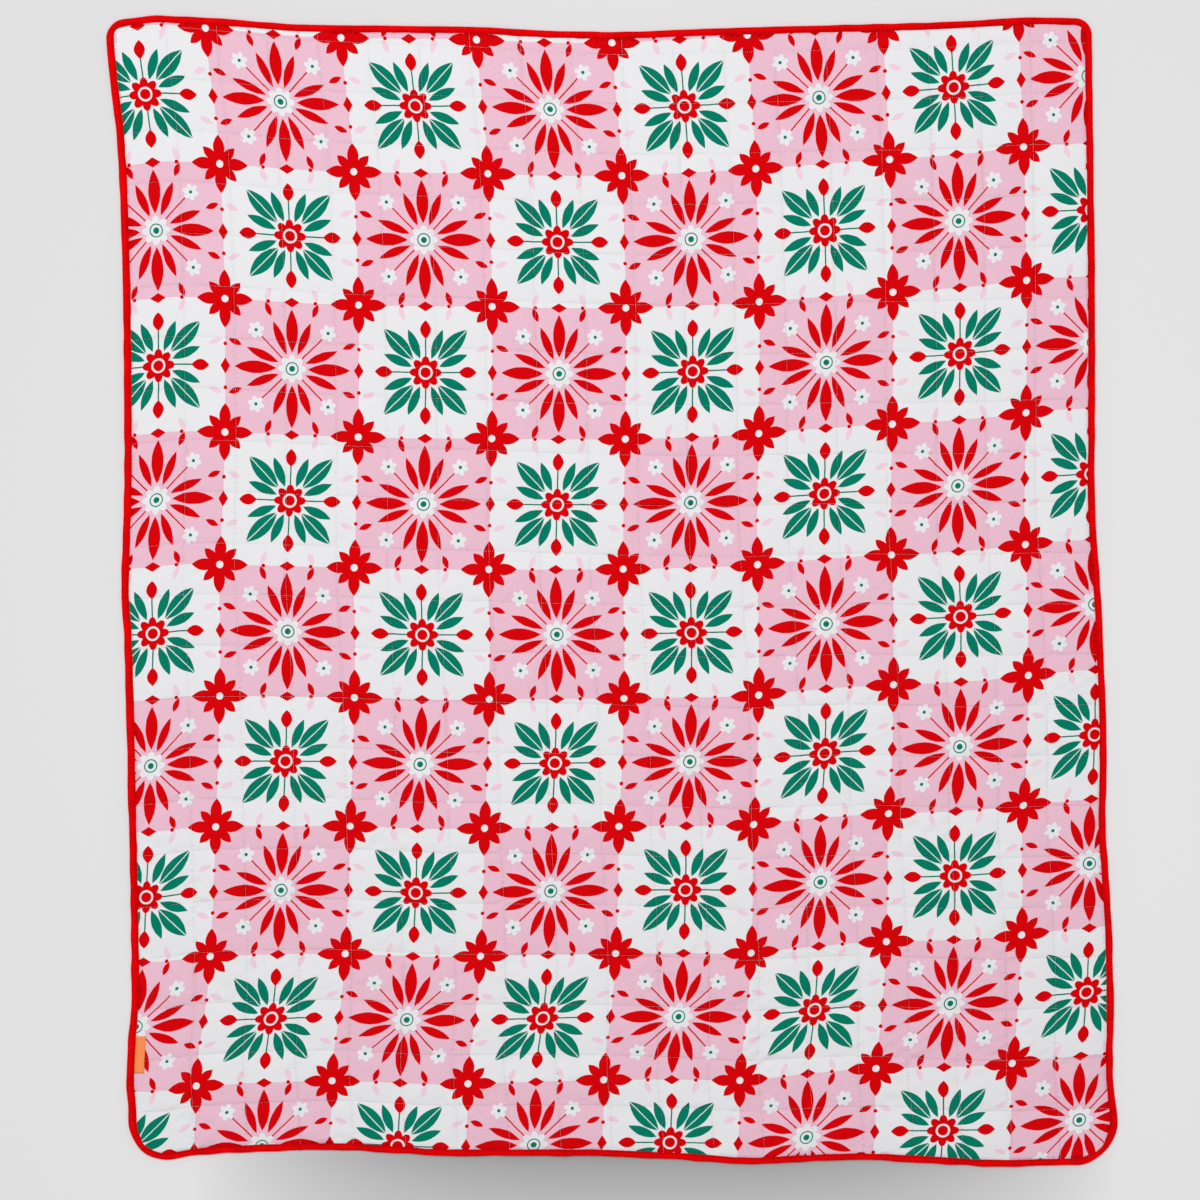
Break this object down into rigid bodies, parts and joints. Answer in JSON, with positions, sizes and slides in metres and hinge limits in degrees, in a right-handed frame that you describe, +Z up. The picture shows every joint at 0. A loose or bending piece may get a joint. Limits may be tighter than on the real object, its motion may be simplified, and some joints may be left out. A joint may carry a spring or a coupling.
{
  "type": "quilted blanket",
  "caption": "Quilted blanket lying flat, face up: a thin filled panel with square sewn channels, a folded edge binding with soft round corners, and a small side tab.",
  "frame": {"origin": "centre of the blanket's own box, on the surface that it lies on", "axes": "+Z up out of the printed face, +Y along the length towards the head end, +X across, to the right when it is seen from above"},
  "size_m": [1.5724, 1.7922, 0.009],
  "materials": {
    "printed_cotton": "matte plain-woven cotton, printed and quilted",
    "binding_tape": "matte woven cotton tape, folded and topstitched",
    "tab_ribbon": "smooth plain ribbon"
  },
  "bodies": {
    "root": {"quilt_panel": "printed_cotton", "edge_binding": "binding_tape", "side_tab": "tab_ribbon"}
  },
  "joints": []
}
